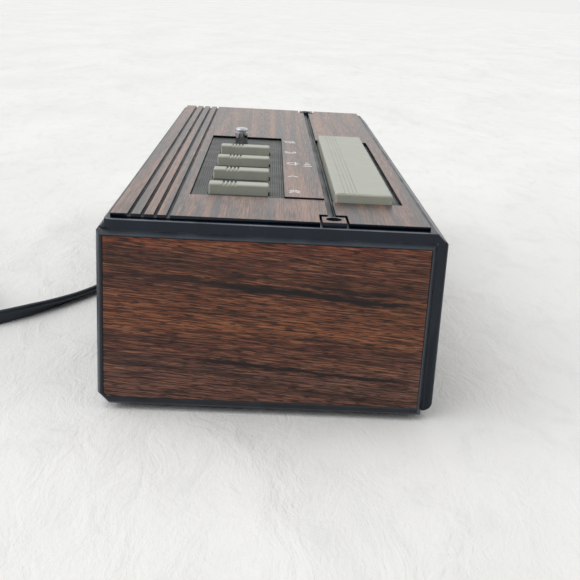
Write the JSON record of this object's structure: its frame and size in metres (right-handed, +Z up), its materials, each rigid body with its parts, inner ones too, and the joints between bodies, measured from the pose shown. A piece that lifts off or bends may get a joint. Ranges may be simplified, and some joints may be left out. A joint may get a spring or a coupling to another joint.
{
  "type": "clock radio",
  "caption": "Low table-top LED clock radio with wood-grain top and ends, push buttons, a snooze bar, side thumbwheels and a coiled mains cord.",
  "frame": {"origin": "middle of the footprint of the radio without its mains cord, on the surface that the feet stand on", "axes": "+Z up, the front with its display faces -Y, +X along the length towards the end with the thumbwheels"},
  "size_m": [0.2734, 0.2483, 0.0672],
  "materials": {
    "case_black": "fine-textured satin moulding",
    "case_bevel": "satin moulding with polished bevels",
    "end_wood": "printed rosewood-grain sheet, satin",
    "top_wood": "printed rosewood-grain sheet, satin",
    "control_grey": "finely striated",
    "button_plastic": "satin, pale grey-green",
    "bright_rod": "polished plate",
    "black_steel": "blackened screw",
    "foot_rubber": "matt",
    "red_window": "tinted, polished",
    "smoke_window": "tinted, polished",
    "dial_print": "printed scale",
    "pointer_orange": "matt",
    "switch_white": "satin",
    "plated_steel": "plated",
    "circuit_board": "phenolic board",
    "chip_black": "moulded",
    "display_face": "LED module",
    "contact_bronze": "spring strip",
    "enamel_copper": "wound wire",
    "ferrite": "sintered",
    "capacitor_sleeve": "shrink sleeve",
    "speaker_paper": "pressed paper",
    "cord_vinyl": "flexible vinyl",
    "blade_brass": "stamped"
  },
  "bodies": {
    "cabinet": {"base_tub": "case_bevel", "top_shell": "case_black", "left_end_inlay": "end_wood", "right_end_inlay": "end_wood", "rear_top_panel": "top_wood", "front_top_panel": "top_wood", "label_plate": "top_wood", "control_plate": "control_grey", "left_screw_pad": "top_wood", "right_screw_pad": "top_wood", "left_top_screw": "black_steel", "right_top_screw": "black_steel", "left_base_screw": "black_steel", "right_base_screw": "black_steel", "front_left_foot": "foot_rubber", "front_right_foot": "foot_rubber", "rear_left_foot": "foot_rubber", "rear_right_foot": "foot_rubber", "display_window": "red_window", "dial_window": "smoke_window", "function_switch_body": "plated_steel", "band_switch_body": "plated_steel", "tuning_capacitor": "switch_white", "volume_pot": "plated_steel", "dial_cord": "switch_white", "dial_plate": "dial_print", "main_board": "circuit_board", "clock_board": "circuit_board", "key_board": "circuit_board", "led_display": "display_face", "clock_chip": "chip_black", "contact_comb": "contact_bronze", "transformer_core": "plated_steel", "transformer_winding": "enamel_copper", "filter_capacitor": "capacitor_sleeve", "ferrite_rod": "ferrite", "antenna_coil": "enamel_copper", "speaker_frame": "plated_steel", "speaker_cone": "speaker_paper", "speaker_magnet": "ferrite", "strain_relief": "cord_vinyl", "cord_lead": "cord_vinyl", "cord_tail": "cord_vinyl", "cord_coil": "cord_vinyl", "plug_body": "cord_vinyl", "plug_blade_front": "blade_brass", "plug_blade_rear": "blade_brass"},
    "fast_set_button": {"fast_set_button": "button_plastic"},
    "slow_set_button": {"slow_set_button": "button_plastic"},
    "alarm_button": {"alarm_button": "button_plastic"},
    "sleep_button": {"sleep_button": "button_plastic"},
    "alarm_off_rod": {"alarm_off_rod": "bright_rod"},
    "snooze_bar": {"snooze_bar": "button_plastic"},
    "tuning_wheel": {"tuning_wheel": "case_black"},
    "volume_wheel": {"volume_wheel": "case_black"},
    "dial_pointer": {"dial_pointer": "pointer_orange"},
    "dial_pulley": {"dial_pulley": "switch_white"},
    "function_slider": {"function_slider": "switch_white"},
    "band_slider": {"band_slider": "switch_white"}
  },
  "joints": [
    {"name": "fast_set_press", "type": "slide", "parent": "cabinet", "child": "fast_set_button", "axis": [0, 0, -1], "range_m": [0, 0.0012], "stiffness_N_per_m": 400, "springref_m": -0.0005},
    {"name": "slow_set_press", "type": "slide", "parent": "cabinet", "child": "slow_set_button", "axis": [0, 0, -1], "range_m": [0, 0.0012], "stiffness_N_per_m": 400, "springref_m": -0.0005},
    {"name": "alarm_press", "type": "slide", "parent": "cabinet", "child": "alarm_button", "axis": [0, 0, -1], "range_m": [0, 0.0012], "stiffness_N_per_m": 400, "springref_m": -0.0005},
    {"name": "sleep_press", "type": "slide", "parent": "cabinet", "child": "sleep_button", "axis": [0, 0, -1], "range_m": [0, 0.0012], "stiffness_N_per_m": 400, "springref_m": -0.0005},
    {"name": "alarm_off_press", "type": "slide", "parent": "cabinet", "child": "alarm_off_rod", "axis": [0, 0, -1], "range_m": [0, 0.0012], "stiffness_N_per_m": 400, "springref_m": -0.0005},
    {"name": "snooze_press", "type": "slide", "parent": "cabinet", "child": "snooze_bar", "axis": [0, 0, -1], "range_m": [0, 0.0012], "stiffness_N_per_m": 800, "springref_m": -0.0006},
    {"name": "tuning_turn", "type": "hinge", "parent": "cabinet", "child": "tuning_wheel", "pos_m": [0.11075, -0.02, 0.0225], "axis": [0, 0, 1], "range_deg": [0, 180]},
    {"name": "volume_turn", "type": "hinge", "parent": "cabinet", "child": "volume_wheel", "pos_m": [0.12375, 0.022, 0.0225], "axis": [0, 0, 1], "range_deg": [0, 270]},
    {"name": "pointer_slide", "type": "slide", "parent": "cabinet", "child": "dial_pointer", "axis": [1, 0, 0], "range_m": [0, 0.052]},
    {"name": "pulley_turn", "type": "hinge", "parent": "cabinet", "child": "dial_pulley", "pos_m": [0.03025, -0.0325, 0.0275], "axis": [0, 0, 1], "range_deg": [0, 743]},
    {"name": "function_slide", "type": "slide", "parent": "cabinet", "child": "function_slider", "axis": [1, 0, 0], "range_m": [0, 0.01]},
    {"name": "band_slide", "type": "slide", "parent": "cabinet", "child": "band_slider", "axis": [1, 0, 0], "range_m": [0, 0.006]}
  ],
  "couplings": [
    {"joint": "pointer_slide", "follows": "tuning_turn", "m_per_rad": 0.0165},
    {"joint": "pulley_turn", "follows": "tuning_turn", "ratio": 4.125}
  ]
}
